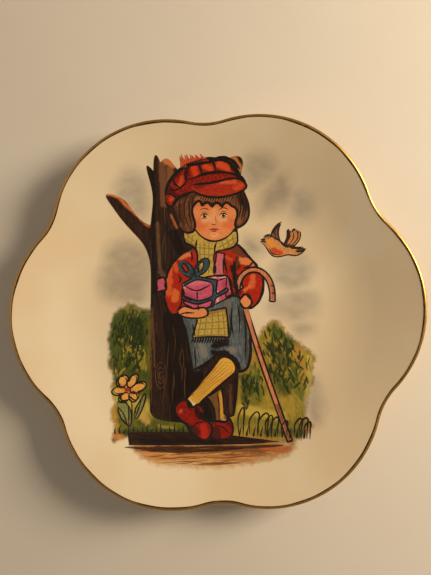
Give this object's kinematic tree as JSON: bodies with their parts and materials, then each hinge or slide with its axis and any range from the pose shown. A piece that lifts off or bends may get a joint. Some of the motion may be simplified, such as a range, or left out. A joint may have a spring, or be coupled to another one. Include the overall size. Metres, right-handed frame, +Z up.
{
  "type": "souvenir plate",
  "caption": "Shallow lobed plate on a foot ring, glazed, with a gilt lip and a fired enamel picture of a walking child with a parcel under a tree.",
  "frame": {"origin": "middle of the circle that the foot ring stands on", "axes": "+Z up out of the dish, +X through the crest of a lobe, +Y towards the top of the picture"},
  "size_m": [0.2056, 0.1942, 0.0214],
  "materials": {
    "biscuit_body": "unglazed, matt",
    "enamel_back_leg": "fired enamel, semi-gloss",
    "enamel_back_shoe": "fired enamel, semi-gloss",
    "enamel_bird": "fired enamel, semi-gloss",
    "enamel_cap_crown": "fired enamel, semi-gloss",
    "enamel_cap_visor": "fired enamel, semi-gloss",
    "enamel_face": "fired enamel, semi-gloss",
    "enamel_flower_head": "fired enamel, semi-gloss",
    "enamel_flower_leaves": "fired enamel, semi-gloss",
    "enamel_front_leg": "fired enamel, semi-gloss",
    "enamel_front_shoe": "fired enamel, semi-gloss",
    "enamel_ground": "fired enamel, semi-gloss",
    "enamel_ground_wash": "thin fired enamel wash",
    "enamel_hair": "fired enamel, semi-gloss",
    "enamel_hands": "fired enamel, semi-gloss",
    "enamel_jacket": "fired enamel, semi-gloss",
    "enamel_left_bush": "thin fired enamel wash",
    "enamel_parcel": "fired enamel, semi-gloss",
    "enamel_ribbon_bow": "fired enamel, semi-gloss",
    "enamel_right_bush": "thin fired enamel wash",
    "enamel_scarf": "fired enamel, semi-gloss",
    "enamel_shorts": "fired enamel, semi-gloss",
    "enamel_sky_wash": "thin fired enamel wash",
    "enamel_tree": "fired enamel, semi-gloss",
    "enamel_vest": "fired enamel, semi-gloss",
    "enamel_walking_stick": "fired enamel, semi-gloss",
    "glaze_coat": "clear cream glaze, glossy",
    "gold_rim_band": "fired bright gold, a little worn"
  },
  "bodies": {
    "root": {"biscuit_body": "biscuit_body", "enamel_back_leg": "enamel_back_leg", "enamel_back_shoe": "enamel_back_shoe", "enamel_bird": "enamel_bird", "enamel_cap_crown": "enamel_cap_crown", "enamel_cap_visor": "enamel_cap_visor", "enamel_face": "enamel_face", "enamel_flower_head": "enamel_flower_head", "enamel_flower_leaves": "enamel_flower_leaves", "enamel_front_leg": "enamel_front_leg", "enamel_front_shoe": "enamel_front_shoe", "enamel_ground": "enamel_ground", "enamel_ground_wash": "enamel_ground_wash", "enamel_hair": "enamel_hair", "enamel_hands": "enamel_hands", "enamel_jacket": "enamel_jacket", "enamel_left_bush": "enamel_left_bush", "enamel_parcel": "enamel_parcel", "enamel_ribbon_bow": "enamel_ribbon_bow", "enamel_right_bush": "enamel_right_bush", "enamel_scarf": "enamel_scarf", "enamel_shorts": "enamel_shorts", "enamel_sky_wash": "enamel_sky_wash", "enamel_tree": "enamel_tree", "enamel_vest": "enamel_vest", "enamel_walking_stick": "enamel_walking_stick", "glaze_coat": "glaze_coat", "gold_rim_band": "gold_rim_band"}
  },
  "joints": []
}
